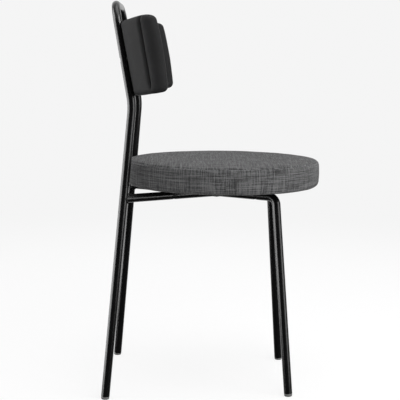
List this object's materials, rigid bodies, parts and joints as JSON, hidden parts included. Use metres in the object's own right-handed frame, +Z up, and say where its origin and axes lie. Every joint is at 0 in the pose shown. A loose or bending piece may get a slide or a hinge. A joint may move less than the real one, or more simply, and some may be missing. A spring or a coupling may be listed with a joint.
{
  "type": "dining chair",
  "caption": "Dining chair with a round padded seat on crossed round steel tubes and a curved channelled back pad on a bent tube hoop.",
  "frame": {"origin": "on the floor under the middle of the chair's bounding box", "axes": "+Z up, the sitter faces -Y, +X to the sitter's left; the chair is laid out evenly about the plane X = 0"},
  "size_m": [0.42, 0.466, 0.8339],
  "materials": {
    "black_steel": "satin black powder coat",
    "grey_nylon": "moulded grey nylon",
    "black_nylon": "moulded black nylon",
    "zinc_steel": "bright zinc plate",
    "brass": "machined brass",
    "plywood": "sanded birch plywood",
    "foam": "cut polyurethane foam",
    "grey_fabric": "heathered grey linen weave",
    "black_leather": "smooth matt black leatherette",
    "black_lining": "black non-woven lining"
  },
  "bodies": {
    "root": {"rear_hoop": "black_steel", "through_rail_and_leg": "black_steel", "cross_rail_and_leg": "black_steel", "cross_rail_stub": "black_steel", "glide_rear_left": "grey_nylon", "glide_rear_right": "grey_nylon", "glide_front_left": "grey_nylon", "glide_front_right": "grey_nylon", "seat_board": "plywood", "seat_foam": "foam", "seat_cover": "grey_fabric", "seat_dust_cover": "black_lining", "seat_spacer_rear_left": "black_nylon", "seat_spacer_rear_right": "black_nylon", "seat_spacer_front_left": "black_nylon", "seat_spacer_front_right": "black_nylon", "seat_screw_rear_left": "zinc_steel", "seat_screw_rear_right": "zinc_steel", "seat_screw_front_left": "zinc_steel", "seat_screw_front_right": "zinc_steel", "seat_tee_nut_rear_left": "zinc_steel", "seat_tee_nut_rear_right": "zinc_steel", "seat_tee_nut_front_left": "zinc_steel", "seat_tee_nut_front_right": "zinc_steel", "back_board": "plywood", "back_foam": "foam", "back_cover": "black_leather", "back_spacer_left": "black_nylon", "back_spacer_right": "black_nylon", "back_screw_left": "zinc_steel", "back_screw_right": "zinc_steel", "back_insert_left": "brass", "back_insert_right": "brass"}
  },
  "joints": []
}
